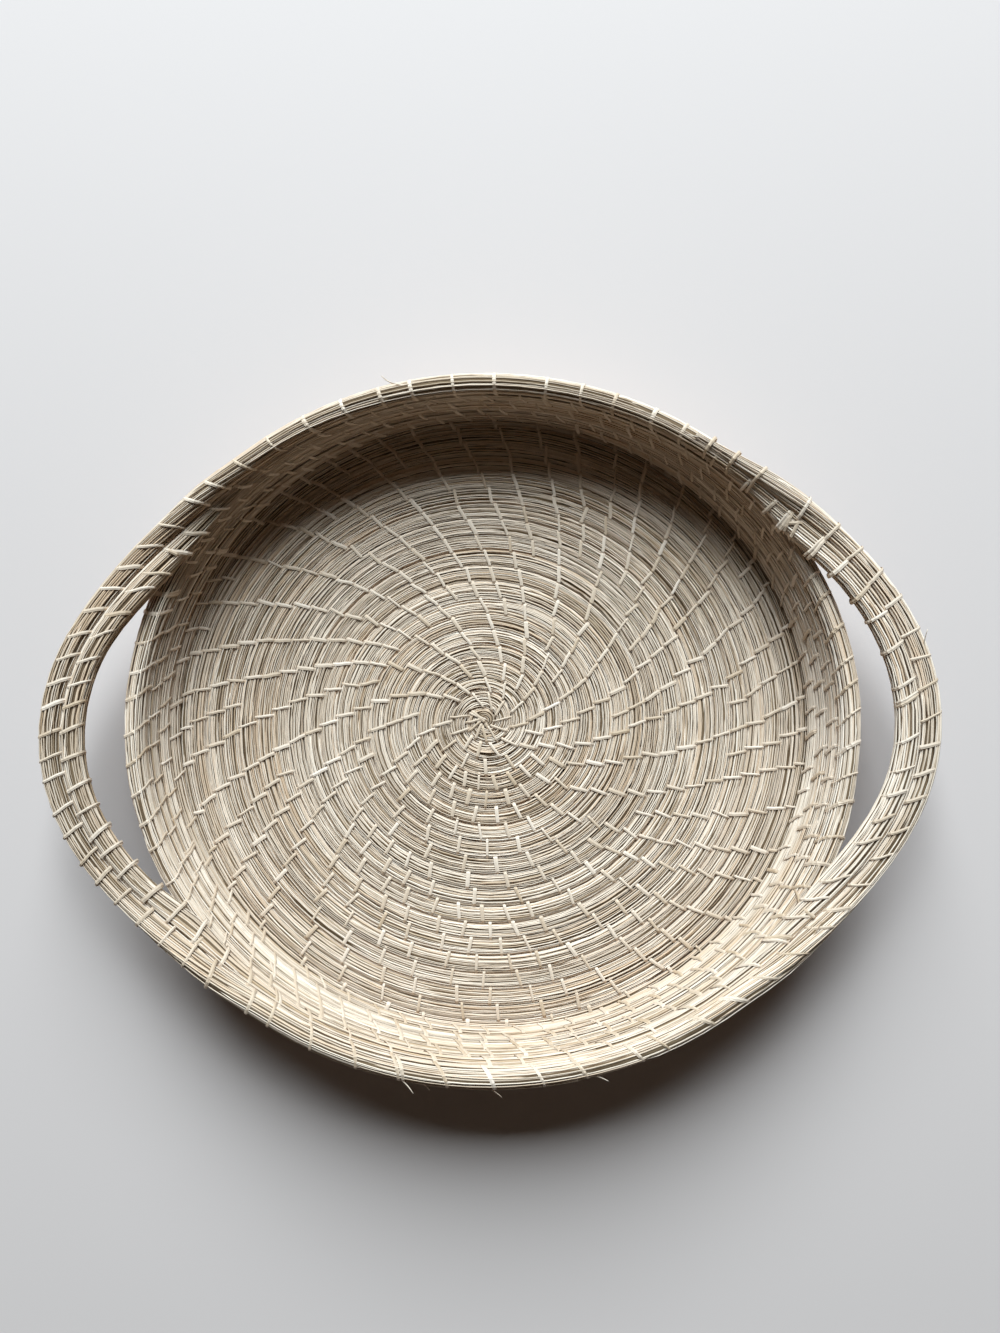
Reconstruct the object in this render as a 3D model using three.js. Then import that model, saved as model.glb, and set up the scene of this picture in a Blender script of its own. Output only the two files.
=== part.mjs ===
// A coiled grass tray. One bundle of grass stalks is wound outwards from a knot at the centre into a flat
// base, climbs a low leaning wall, and ends as a rim of two rows that leaves the wall at both ends to make
// the handles. Swirling lines of stitches hold the base, and a strand is wound round the rows of each handle.
// Millimetres, +Z up, the handles on the X axis, the ground at Z = 0.
import * as THREE from "three";

// The bundle and the clearances between its rows
const COIL_RADIUS = 4.05;
const RIM_COIL_RADIUS = 4.6;
const HANDLE_COIL_RADIUS = 4.9;
const ROW_GAP = 0.8;
const JOINT_GAP = 0.3;

// The base: its outermost row, how far it is longer than round, and where its first row starts
const BASE_RADIUS = 171.9;
const BASE_STRETCH = 2.9;
const KNOT_OFFSET_X = -3.4;
const KNOT_OFFSET_Y = 1.8;
const FIRST_TURN = 0.55;
const KNOT_RADIUS = 2.3;
const KNOT_SEAT_TURNS = 0.62;

// The wall: where the base folds up into it, its rows under the handles and how far it leans out
const FOLD_ANGLE = 53;
const FOLD_TURNS = 0.5;
const WALL_ROWS = 4;
const LEAN_AT_SIDES = 19;
const LEAN_AT_FRONT = 6.4;

// The rim and the handles
const RIM_ROWS = 2;
const RIM_START_ANGLE = 129;
const RIM_SWELL_ANGLE = 40;
const TAIL_ANGLE = 20;
const TAIL_RADIUS = 1.6;
const HANDLE_REACH = 224.3;
const HANDLE_SPREAD = 38;
const HANDLE_FLAT_ANGLE = 20;
const HANDLE_LIFT = 6;

// The sewing strands
const STITCH_LINES = 24;
const STITCH_FIRST_ROW = 3;
const STITCH_FREE_ROWS = 1.6;
const STITCH_SWIRL = 0.47;
const STITCH_WIDTH = 1.6;
const STITCH_HEIGHT = 1;
const STITCH_DIP = 1;
const WRAP_RADIUS = 0.8;
const WRAP_LOOPS = 8;
const WRAP_HALF_ANGLE = 20;

// Sides of the swept tubes, and their steps in a turn or a loop
const COIL_SIDES = 6;
const COIL_STEPS = 24;
const RIM_STEPS = 36;
const LEAST_STEP = 0.25;
const STITCH_SIDES = 4;
const WRAP_SIDES = 4;
const WRAP_STEPS = 12;
const KNOT_SIDES = 12;
const KNOT_ARC_STEPS = 4;

// Values that follow from the sizes above. A turn counts once round the centre, from the knot outwards.
const { degToRad, radToDeg, lerp, smoothstep, clamp } = THREE.MathUtils;
const FULL_TURN = 2 * Math.PI;
const rowPitch = 2 * COIL_RADIUS + ROW_GAP;
const coilFlatHalf = COIL_RADIUS * Math.cos(Math.PI / COIL_SIDES);
const foldTurn = BASE_RADIUS / rowPitch;
const rimTurn = foldTurn + WALL_ROWS + (RIM_START_ANGLE - FOLD_ANGLE) / 360;
const lastTurn = foldTurn + WALL_ROWS + RIM_ROWS;
const handleWidth = RIM_ROWS * 2 * HANDLE_COIL_RADIUS + (RIM_ROWS - 1) * ROW_GAP;
const handleInner = HANDLE_REACH - handleWidth + HANDLE_COIL_RADIUS;

// Colours and surface of dry grass
const GRASS_ROUGHNESS = 0.85;
const GRASS = 0xc9b694;
const GRASS_DARK = 0xb9a27c;
const STRAND = 0xdccdae;

const tray = new THREE.Group();

function addPiece(name, geometry, color) {
  const material = new THREE.MeshStandardMaterial({ color, roughness: GRASS_ROUGHNESS, metalness: 0 });
  const mesh = new THREE.Mesh(geometry, material);
  mesh.name = name;
  tray.add(mesh);
}

function angleAt(turn) {
  return degToRad(FOLD_ANGLE) + FULL_TURN * (turn - foldTurn);
}

// The angle from the nearest handle's middle, in degrees.
function fromHandle(angle) {
  return radToDeg(Math.abs(Math.asin(Math.sin(angle))));
}

// One in the middle of a handle, falling smoothly to nothing where the handle leaves the wall.
function handleBow(angle) {
  const share = clamp(fromHandle(angle) / HANDLE_SPREAD, 0, 1);
  return (1 + Math.cos(Math.PI * share)) / 2;
}

// The bundle keeps one thickness in the base and the wall and swells into the rim. It is thickest in the
// handles and in the wall's last row under them, and thins out to its tail.
function coilRadius(turn) {
  const swell = smoothstep(turn, rimTurn, rimTurn + RIM_SWELL_ANGLE / 360);
  const plain = lerp(COIL_RADIUS, RIM_COIL_RADIUS, swell);
  const underRim = smoothstep(turn, rimTurn - 1, rimTurn - 1 + RIM_SWELL_ANGLE / 360);
  const thick = lerp(plain, HANDLE_COIL_RADIUS, underRim * handleBow(angleAt(turn)));
  const tail = smoothstep(turn, lastTurn - TAIL_ANGLE / 360, lastTurn);
  return lerp(thick, TAIL_RADIUS, tail);
}

// A wall row's lean from upright, which is larger towards the handles than at the front and back.
function wallLean(angle) {
  const side = (1 + Math.cos(2 * angle)) / 2;
  return degToRad(lerp(LEAN_AT_FRONT, LEAN_AT_SIDES, side));
}

// Where a row lies in its radial plane. Base rows lie side by side. From the fold on, each row sits on the
// row one turn before it, in a direction that turns from flat to the wall's lean.
function restingRow(turn) {
  if (turn <= foldTurn) {
    return { radius: rowPitch * turn, height: coilFlatHalf, lean: Math.PI / 2 };
  }
  const below = restingRow(turn - 1);
  const fold = smoothstep(turn - foldTurn, 0, FOLD_TURNS);
  const lean = lerp(Math.PI / 2, wallLean(angleAt(turn)), fold);
  const step = coilRadius(turn) + coilRadius(turn - 1) + ROW_GAP;
  const radius = below.radius + step * Math.sin(lean);
  const height = below.height + step * Math.cos(lean);
  return { radius, height, lean };
}

// The same row on the slightly oval plan of the tray.
function ovalRow(turn) {
  const row = restingRow(turn);
  const stretch = 1 + (BASE_STRETCH / BASE_RADIUS) * Math.cos(2 * angleAt(turn));
  return { radius: row.radius * stretch, height: row.height, lean: row.lean };
}

// One in the handles, where the rim rows lie side by side, falling to nothing towards the front and back,
// where they lie on top of each other.
function handleRoll(angle) {
  return 1 - smoothstep(fromHandle(angle), HANDLE_FLAT_ANGLE, 180 - RIM_START_ANGLE);
}

// The first rim row sits on the wall at the front and back, and bows out of it in the handles. The row after
// it lies on it, and rolls over to its outer side on the way to a handle's middle.
function rowAt(turn) {
  const row = ovalRow(turn);
  if (turn < rimTurn) return row;
  const angle = angleAt(turn);
  const bow = handleBow(angle);
  const lean = lerp(row.lean, Math.PI / 2, handleRoll(angle));
  if (turn < rimTurn + 1) {
    return { radius: lerp(row.radius, handleInner, bow), height: row.height + HANDLE_LIFT * bow, lean };
  }
  const below = rowAt(turn - 1);
  const step = coilRadius(turn) + coilRadius(turn - 1) + ROW_GAP;
  return { radius: below.radius + step * Math.sin(lean), height: below.height + step * Math.cos(lean), lean };
}

// The point at a radius and a height in the radial plane of a turn. The rows' centre drifts from the knot
// to the middle of the tray as the base grows.
function planPoint(turn, radius, height) {
  const angle = angleAt(turn);
  const drift = Math.max(0, 1 - turn / foldTurn);
  const x = KNOT_OFFSET_X * drift + radius * Math.cos(angle);
  const y = KNOT_OFFSET_Y * drift + radius * Math.sin(angle);
  return new THREE.Vector3(x, y, height);
}

// A direction in the radial plane, at an angle from upright towards the outside.
function planDirection(turn, lean) {
  const angle = angleAt(turn);
  const outwards = Math.sin(lean);
  return new THREE.Vector3(outwards * Math.cos(angle), outwards * Math.sin(angle), Math.cos(lean));
}

// A tube's station: its centre, two axes of its section, which turns from the first to the second, and its
// sizes along them.
function coilStation(turn) {
  const row = rowAt(turn);
  const radius = coilRadius(turn);
  return {
    centre: planPoint(turn, row.radius, row.height),
    along: planDirection(turn, row.lean),
    across: planDirection(turn, row.lean + Math.PI / 2),
    alongSize: radius,
    acrossSize: radius,
  };
}

// A closed tube through a list of stations, with flat ends. The first corner of a section lies at an angle
// from its first axis.
function sweep(stations, sides, firstCorner = 0) {
  const positions = [];
  for (const station of stations) {
    for (let side = 0; side < sides; side += 1) {
      const turn = firstCorner + (FULL_TURN * side) / sides;
      const point = station.centre.clone();
      point.addScaledVector(station.along, station.alongSize * Math.cos(turn));
      point.addScaledVector(station.across, station.acrossSize * Math.sin(turn));
      positions.push(point.x, point.y, point.z);
    }
  }
  const index = [];
  const last = (stations.length - 1) * sides;
  for (let ring = 0; ring < last; ring += sides) {
    for (let side = 0; side < sides; side += 1) {
      const next = (side + 1) % sides;
      index.push(ring + side, ring + next, ring + sides + next);
      index.push(ring + side, ring + sides + next, ring + sides + side);
    }
  }
  for (let side = 1; side < sides - 1; side += 1) {
    index.push(0, side + 1, side);
    index.push(last, last + side, last + side + 1);
  }
  const geometry = new THREE.BufferGeometry();
  geometry.setAttribute("position", new THREE.Float32BufferAttribute(positions, 3));
  geometry.setIndex(index);
  geometry.computeVertexNormals();
  return geometry;
}

// Turns from one end of a coil to the other, on stations that all its rows share.
function coilTurns(start, end, steps) {
  const turns = [start];
  for (let step = Math.ceil(start * steps + LEAST_STEP); step <= end * steps - LEAST_STEP; step += 1) {
    turns.push(step / steps);
  }
  turns.push(end);
  return turns;
}

// The centre of a coil at any turn, on the straight run between two of its stations.
function centreOnRun(turn, steps) {
  const before = Math.floor(turn * steps);
  const from = coilStation(before / steps).centre;
  const to = coilStation((before + 1) / steps).centre;
  return from.lerp(to, turn * steps - before);
}

// Half of the gap between the ends of two coils that follow each other, as a share of a turn.
function halfJoint(turn) {
  return JOINT_GAP / 2 / (FULL_TURN * rowAt(turn).radius);
}

// The least gap of a winding to itself: between its points more than half a loop apart, less its thickness.
function leastGap(points, thickness, pointsPerLoop) {
  let least = Infinity;
  for (let first = 0; first < points.length; first += 1) {
    const from = first + Math.round(pointsPerLoop / 2);
    const to = Math.min(points.length, first + Math.round(pointsPerLoop * 1.5));
    for (let second = from; second < to; second += 1) {
      const gap = points[first].distanceTo(points[second]) - thickness[first] - thickness[second];
      least = Math.min(least, gap);
    }
  }
  return least;
}

function addCoil(name, start, end, steps, color) {
  const turns = coilTurns(start, end, steps);
  const stations = turns.map(coilStation);
  addPiece(name, sweep(stations, COIL_SIDES), color);
  const centres = stations.map((station) => station.centre);
  const thickness = stations.map((station) => station.alongSize);
  const gap = leastGap(centres, thickness, steps);
  console.log(`${name}: least gap to itself ${gap.toFixed(2)} mm`);
}

// The knot fills the small hollow that the first row leaves at the centre.
function addKnot() {
  const profile = [
    new THREE.Vector2(0, 0),
    new THREE.Vector2(KNOT_RADIUS, 0),
    new THREE.Vector2(KNOT_RADIUS, coilFlatHalf),
  ];
  for (let step = 1; step <= KNOT_ARC_STEPS; step += 1) {
    const turn = ((Math.PI / 2) * step) / KNOT_ARC_STEPS;
    const radius = step === KNOT_ARC_STEPS ? 0 : KNOT_RADIUS * Math.cos(turn);
    profile.push(new THREE.Vector2(radius, coilFlatHalf + coilFlatHalf * Math.sin(turn)));
  }
  const lathe = new THREE.LatheGeometry(profile, KNOT_SIDES);
  lathe.rotateX(Math.PI / 2);
  const seat = FIRST_TURN + KNOT_SEAT_TURNS;
  const reach = restingRow(seat).radius - COIL_RADIUS - JOINT_GAP - KNOT_RADIUS;
  const place = planPoint(seat, reach, 0);
  lathe.translate(place.x, place.y, 0);
  addPiece("start_knot", lathe, GRASS_DARK);
}

// One line of stitches: an arch over each row and a dip into the groove after it, swirling as it goes out.
function addStitchLine(number) {
  const lowest = 2 * coilFlatHalf + JOINT_GAP + STITCH_HEIGHT / 2;
  const archHeight = lowest + STITCH_DIP * (COIL_RADIUS / rowPitch);
  let turn = STITCH_FIRST_ROW + number / STITCH_LINES;
  const points = [];
  while (turn < foldTurn - STITCH_FREE_ROWS) {
    const next = turn + 1 + (STITCH_SWIRL * Math.log((turn + 1) / turn)) / FULL_TURN;
    const crown = centreOnRun(turn, COIL_STEPS).setZ(archHeight);
    const nextCrown = centreOnRun(next, COIL_STEPS);
    const groove = crown.clone().lerp(nextCrown, 0.5).setZ(archHeight - STITCH_DIP);
    points.push(crown, groove);
    turn = next;
  }
  points.pop();
  const upright = new THREE.Vector3(0, 0, 1);
  const stations = points.map((centre, place) => {
    const ahead = points[Math.min(place + 1, points.length - 1)];
    const behind = points[Math.max(place - 1, 0)];
    const heading = ahead.clone().sub(behind).setZ(0).normalize();
    return {
      centre,
      along: upright,
      across: heading.cross(upright),
      alongSize: STITCH_HEIGHT * Math.SQRT1_2,
      acrossSize: STITCH_WIDTH * Math.SQRT1_2,
    };
  });
  const ribbon = sweep(stations, STITCH_SIDES, Math.PI / STITCH_SIDES);
  addPiece(`stitch_line_${String(number + 1).padStart(2, "0")}`, ribbon, STRAND);
}

// The strand wound round the rows of a handle, one unbroken helix on a path with straight sides and round
// ends.
function addHandleWrap(name, axisTurn) {
  const count = WRAP_LOOPS * WRAP_STEPS;
  const centres = [];
  const normals = [];
  for (let step = 0; step <= count; step += 1) {
    const turn = axisTurn + (WRAP_HALF_ANGLE / 360) * ((2 * step) / count - 1);
    const outerTurn = turn + RIM_ROWS - 1;
    const inner = centreOnRun(turn, RIM_STEPS);
    const outer = centreOnRun(outerTurn, RIM_STEPS);
    const path = (coilRadius(outerTurn) + JOINT_GAP + WRAP_RADIUS) / Math.cos(Math.PI / WRAP_STEPS);
    const round = (FULL_TURN * step) / WRAP_STEPS;
    const straight = (1 + clamp(2 * Math.cos(round), -1, 1)) / 2;
    const normal = outer.clone().sub(inner).normalize().multiplyScalar(Math.cos(round));
    normal.addScaledVector(coilStation(turn).across, Math.sin(round));
    centres.push(inner.lerp(outer, straight).addScaledVector(normal, path));
    normals.push(normal);
  }
  const stations = centres.map((centre, place) => {
    const ahead = centres[Math.min(place + 1, count)];
    const behind = centres[Math.max(place - 1, 0)];
    const heading = ahead.clone().sub(behind).normalize();
    const along = normals[place].clone().addScaledVector(heading, -normals[place].dot(heading)).normalize();
    const across = heading.clone().cross(along);
    return { centre, along, across, alongSize: WRAP_RADIUS, acrossSize: WRAP_RADIUS };
  });
  addPiece(name, sweep(stations, WRAP_SIDES), STRAND);
  const gap = leastGap(centres, centres.map(() => WRAP_RADIUS), WRAP_STEPS);
  console.log(`${name}: least gap to itself ${gap.toFixed(2)} mm`);
}

addKnot();
addCoil("base_coil", FIRST_TURN, foldTurn - halfJoint(foldTurn), COIL_STEPS, GRASS);
addCoil("wall_coil", foldTurn + halfJoint(foldTurn), rimTurn - halfJoint(rimTurn), COIL_STEPS, GRASS);
addCoil("rim_coil", rimTurn + halfJoint(rimTurn), lastTurn, RIM_STEPS, GRASS);
for (let number = 0; number < STITCH_LINES; number += 1) addStitchLine(number);
const rightHandleTurn = foldTurn + WALL_ROWS + (360 - FOLD_ANGLE) / 360;
addHandleWrap("right_handle_wrap", rightHandleTurn);
addHandleWrap("left_handle_wrap", rightHandleTurn - 0.5);

// The origin is under the middle of the tray's box.
const box = new THREE.Box3().setFromObject(tray);
const middle = box.getCenter(new THREE.Vector3());
tray.position.set(-middle.x, -middle.y, -box.min.z);

export default tray;
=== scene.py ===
"""Looks of the coiled grass tray: one bundle of fine stalks, sewn row on row with split strands."""

from typing import NamedTuple

import bpy
import numpy as np
from bpy.props import FloatProperty, FloatVectorProperty, IntProperty, PointerProperty
from mathutils import Matrix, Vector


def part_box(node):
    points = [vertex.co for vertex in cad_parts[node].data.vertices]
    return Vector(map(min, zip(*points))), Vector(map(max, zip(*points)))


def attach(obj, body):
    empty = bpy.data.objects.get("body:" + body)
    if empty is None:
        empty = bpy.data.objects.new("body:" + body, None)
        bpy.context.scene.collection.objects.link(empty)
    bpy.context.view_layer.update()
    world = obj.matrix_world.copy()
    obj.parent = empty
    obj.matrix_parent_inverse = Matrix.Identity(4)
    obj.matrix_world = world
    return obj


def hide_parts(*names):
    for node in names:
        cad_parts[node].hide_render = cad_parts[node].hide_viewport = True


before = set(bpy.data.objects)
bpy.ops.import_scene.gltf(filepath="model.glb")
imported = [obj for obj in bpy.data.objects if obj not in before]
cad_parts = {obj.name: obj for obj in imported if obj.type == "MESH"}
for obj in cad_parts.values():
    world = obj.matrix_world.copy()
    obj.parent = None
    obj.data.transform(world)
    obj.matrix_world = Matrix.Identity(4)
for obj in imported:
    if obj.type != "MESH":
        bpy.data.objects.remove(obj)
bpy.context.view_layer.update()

bl_info = {
    "name": "Coiled grass tray",
    "version": (1, 0, 0),
    "blender": (4, 5, 0),
    "location": "View3D > Sidebar > Grass tray",
    "description": "Builds a coiled tray of fine grass stalks, its sewing strands, materials and stage",
    "category": "Object",
}

TAU = 2 * np.pi
UP = np.array([0.0, 0.0, 1.0])

# Sides of the tubes and points along the curves.
STRAND_SIDES = 4
CORE_SIDES = 8
CORE_STEPS = 72  # in a turn
LOOSE_STATIONS = 7
RIM_SAMPLES = 2000
PATH_SAMPLES = 12000
GIRTH_SAMPLES = 721

# Path and section of the bundle.
FLAT_SIDE = np.cos(np.pi / 6)  # half height over radius of the solid bundle, which has six sides
KNOT_EDGE = 0.5  # turn up to which the radius grows half as fast
TAIL_SINK = 1.5  # arc over which the tail sinks, in tail arcs
RIM_BLEND = 0.15  # turns before the rim over which the section changes
LEAST_SHARE = 0.1  # least share of the full section in the knot

# Stalks. Depths are in sinks, and shares are of the usual value.
LENGTH_RANGE = (0.7, 1.3)
DARK_TONE = 0.3
KNOT_TONE = 0.45
KNOT_TONE_TURNS = 1.2  # turns over which the stalks get as pale as usual
CROSSING = 2  # weight of the drift's cube
WAVE = 0.3  # height of the slow wave, in drifts
WAVE_COUNT = 1.5  # waves along a stalk
TUCK_SHARE = 0.25  # most of a stalk's length that one end tucks
TIP_DEPTH = 1.6
TIP_THINNING = 0.55
FINE_RISE = 0.2
STALK_DEPTH = 1.1  # of a stalk's middle, in half widths
STALK_HEIGHT = 1.15
LOOSE_DEPTH = 2
LOOSE_HALF_WIDTHS = (0.00045, 0.0002)  # at the root and the tip, in metres

# Inside of the bundle, in metres.
CORE_INSET = 0.0008
CORE_SIDE_INSET = 0.0003
CORE_RISE = 0.0004
CORE_SWELL = CORE_RISE / 3
CORE_LEAST = 0.3  # least share of the section that the core takes
CORE_TIP = 0.05  # size of its ends, as a share
# Tone of the core between its two colours of painted shade.
CORE_SHADE_TONE = 0.5
KNOT_CORE = (0.02, 0.1)  # turns by which the knot's core starts and ends later than the knot

# Sewing.
KNOT_ROWS = 3  # rows over which the strands get as wide as usual
SPLIT_AT = 1.5  # spacings between two stitches that make room for a new one
UPRIGHT_UNEVEN = 0.1  # random shift of the wall's and rim's stitches, in spacings
TWIN_APART = 1.4  # distance of twin strands, in strand widths
WIDEST = 2  # most spreads by which a strand's width differs
TOP_TURN = np.pi / 4  # turn of a stitch's far side on the rim's top
ROOT_ARC = np.radians(50)
LASHING_FLATNESS = 2.6

# Finishes.
STREAKS = 160  # along a metre of stalk
STREAK_SEED = 97
STAIN_SCALE = 45
PATCH_SCALE = 19
BROWNED = (1.05, 1.7)  # sums of patch and stalk noise between which the grass turns brown
RIB_STRENGTH = 0.4
RIB_HEIGHT = 0.0003
GRASS_SPECULAR = 0.35
FLOOR_ROUGHNESS = 0.8
SENSOR_WIDTH = 36  # in millimetres

# Loops round a rim row and the row below it: direction in degrees, rim row from below, slant in metres.
LASHINGS = (
    (-31, 0, -0.0035), (214, 0, 0.0020), (148, 0, 0.0050),
    (41, 1, 0.0012), (45.5, 1, 0.0016), (50, 1, 0.0010))
# Crossed turns of strand round the inner rim row behind the right handle, in the same order.
CROSSED_WRAP = ((31.3, 0, 0.0036), (32.7, 0, 0.0036), (32.4, 0, -0.0036))
# Handle roots, where the rows spread to close the gap: direction in degrees, how much wider the first rim row is
# towards the tray and the wall's top row away from it, in metres, and half the arc over which they are, in degrees.
ROOTS = ((154, 0.0030, 0.0030, 17), (337, 0.0020, 0.0030, 17), (30, 0.0018, 0.0, 10), (211, 0.0022, 0.0, 10))
# Loose stalk ends: direction in degrees, rim row from below, angle round the bundle in degrees, length and lift in
# metres.
LOOSE_ENDS = (
    (253, 1, 50, 0.011, 0.0040), (256, 1, 95, 0.009, 0.0030), (267, 1, 70, 0.010, 0.0035),
    (284, 1, 60, 0.009, 0.0035), (96, 0, 250, 0.012, 0.0035), (102, 0, 30, 0.010, 0.0045),
    (103, 0, 60, 0.008, 0.0050), (51, 1, 300, 0.010, 0.0030), (40, 0, 265, 0.018, 0.0030),
    (176, 1, 250, 0.012, 0.0030), (8, 1, 300, 0.011, 0.0035), (325, 1, 290, 0.010, 0.0030))


# --- Sizes, finishes and stage, as a user would change them ---


def a_length(name, description, default):
    """A setting in metres."""
    return FloatProperty(name=name, description=description, default=default, unit="LENGTH", precision=5)


def a_share(name, description, default):
    """A setting that is a share of something."""
    return FloatProperty(name=name, description=description, default=default, subtype="FACTOR")


def an_angle(name, description, degrees):
    """A setting that is an angle, given in degrees."""
    return FloatProperty(name=name, description=description, default=np.radians(degrees), subtype="ANGLE")


def a_number(name, description, default):
    """A setting without a unit."""
    return FloatProperty(name=name, description=description, default=default)


def a_count(name, description, default):
    """A setting that counts something."""
    return IntProperty(name=name, description=description, default=default)


def a_place(name, description, *default):
    """A setting of two lengths, for a place in a plane."""
    return FloatVectorProperty(
        name=name, description=description, default=default, size=2, unit="LENGTH", subtype="XYZ")


def a_colour(name, description, *default):
    """A setting for a colour of three channels, or four with the alpha that a material's socket takes."""
    return FloatVectorProperty(
        name=name, description=description, default=default, size=len(default), subtype="COLOR", min=0, max=1)


class TraySizes(bpy.types.PropertyGroup):
    """Driving dimensions of the bundle's path. They repeat the sizes of the solid model."""

    bundle_radius: a_length("Bundle radius", "Half the thickness of the bundle in base and wall", 0.00405)
    rim_radius: a_length("Rim radius", "Half the thickness of the two rim rows", 0.0046)
    handle_radius: a_length("Handle radius", "Half the thickness of each handle row", 0.0049)
    row_gap: a_length("Row gap", "Clearance that the stalks of two rows fill between them", 0.0008)
    base_radius: a_length("Base radius", "Radius at which the base turns up into the wall", 0.1719)
    base_stretch: a_length("Base stretch", "How much longer the plan is towards the handles", 0.0029)
    knot_offset: a_place("Knot offset", "Where the spiral starts, seen from the middle of the rim", -0.0034, 0.0018)
    first_turn: a_number("First turn", "Turn at which the bundle leaves the knot", 0.55)
    knot_turn: a_number("Knot turn", "Turn at which the curl of the knot starts", -0.36)
    fold_angle: an_angle("Fold angle", "Direction in which the base ends", 53)
    fold_turns: a_number("Fold turns", "Turns over which the base rolls up into the wall", 0.5)
    wall_rows: a_count("Wall rows", "Rows of the wall below the rim", 4)
    lean_at_sides: an_angle("Lean at the sides", "Outward lean of the wall under the handles", 19)
    lean_at_front: an_angle("Lean at the front", "Outward lean of the wall at the front and back", 6.4)
    rim_rows: a_count("Rim rows", "Rows of the rim, which also make the handles", 2)
    rim_start: an_angle("Rim start", "Direction in which the rim starts", 129)
    rim_swell: an_angle("Rim swell", "Arc over which the bundle grows to the rim's thickness", 40)
    tail_arc: an_angle("Tail arc", "Arc over which the last row tapers", 20)
    tail_radius: a_length("Tail radius", "Half the thickness of the tail's end", 0.0016)
    tail_hug: a_share("Tail hug", "Share of its height by which the tail sinks into the row below", 0.3)
    handle_reach: a_length("Handle reach", "Distance from the middle to the outside of a handle", 0.2243)
    handle_spread: an_angle("Handle spread", "Half the arc over which a handle stands off the wall", 38)
    handle_flat: an_angle("Handle flat", "Half the arc over which the rim rows lie side by side", 20)
    handle_lift: a_length("Handle lift", "How far a handle rises above the rim", 0.006)
    stand: a_length("Stand", "Lift that the strands under the base give the bundle", 0.0011)


class StalkLook(bpy.types.PropertyGroup):
    """How the stalks lie in the bundle."""

    lanes: a_count("Lanes", "Stalks side by side round the bundle", 33)
    length: a_length("Length", "Usual length of a stalk", 0.2)
    least_length: a_length("Least length", "Length of the stalks at the knot", 0.018)
    bend: an_angle("Bend", "Most arc that one stalk goes round", 115)
    overlap: a_share("Overlap", "Share of a stalk that lies beside the next one", 0.12)
    fullness: a_share("Fullness", "Stalk width as a share of its lane", 0.92)
    handle_slack: a_share("Handle slack", "Share of its width that a stalk lacks in the handles", 0.1)
    wall_slack: a_share("Wall slack", "The same in the wall and all of the rim", 0.04)
    thick_spread: a_share("Thickness spread", "Random part of the stalks' width", 0.2)
    fine_share: a_share("Fine share", "Share of the stalks that are fine and lie on the others", 0.22)
    fine_width: a_share("Fine width", "Width of a fine stalk as a share of a usual one", 0.6)
    jitter: a_number("Jitter", "Random shift of a stalk from its lane, in lanes", 0.28)
    wander: a_number("Wander", "How far a stalk drifts from its lane, in lanes", 0.9)
    loose_wander: a_number("Loose wander", "How much further it drifts in the wall's top row at the left handle", 1.6)
    sink: a_length("Sink", "How deep stalks lie below the bundle's skin", 0.00075)
    tuck: a_length("Tuck", "Length over which a stalk's end goes under", 0.010)
    flatness: a_number("Flatness", "Exponent of the bundle's rounded section in base and wall", 4.0)
    rim_flatness: a_number("Rim flatness", "Exponent of the bundle's rounded section in the rim", 2.3)
    handle_flatness: a_number("Handle flatness", "Exponent of the bundle's rounded section in the handles", 3.2)
    squash: a_share("Squash", "Depth of the bundle's section as a share of its round size", 0.9)
    rim_squash: a_number("Rim squash", "The same in the rim", 1.08)
    gap_fill: a_share("Gap fill", "Share of the row gap that each row's stalks take", 0.8)
    stations: a_count("Stations", "Sections along each stalk", 16)
    paleness: a_share("Paleness", "Middle tone of the stalks, between dark and pale", 0.62)
    paleness_spread: a_share("Paleness spread", "Spread of the stalks' tones", 0.16)
    # Painted light and shade: the rim is paler towards the front right and darker towards the back left, and the
    # wall's right is paler, in tone.
    rim_painted_light: a_share("Rim painted light", "How much paler the rim and the wall's right are at their palest, in tone", 0.2)
    painted_light_turn: an_angle("Painted light turn", "How far from the right handle the rim is palest, towards the front", 40)
    # Painted shade: wall, rim and their strands are made darker at the front, which the lamp behind the tray lights
    # most.
    front_painted_shade: a_share("Front painted shade", "How much darker wall and rim are at the front, in tone", 0.2)
    dark_share: a_share("Dark share", "Share of the stalks that have gone dark", 0.06)
    seed: a_count("Seed", "Seed of the stalks' random choices", 7)


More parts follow.
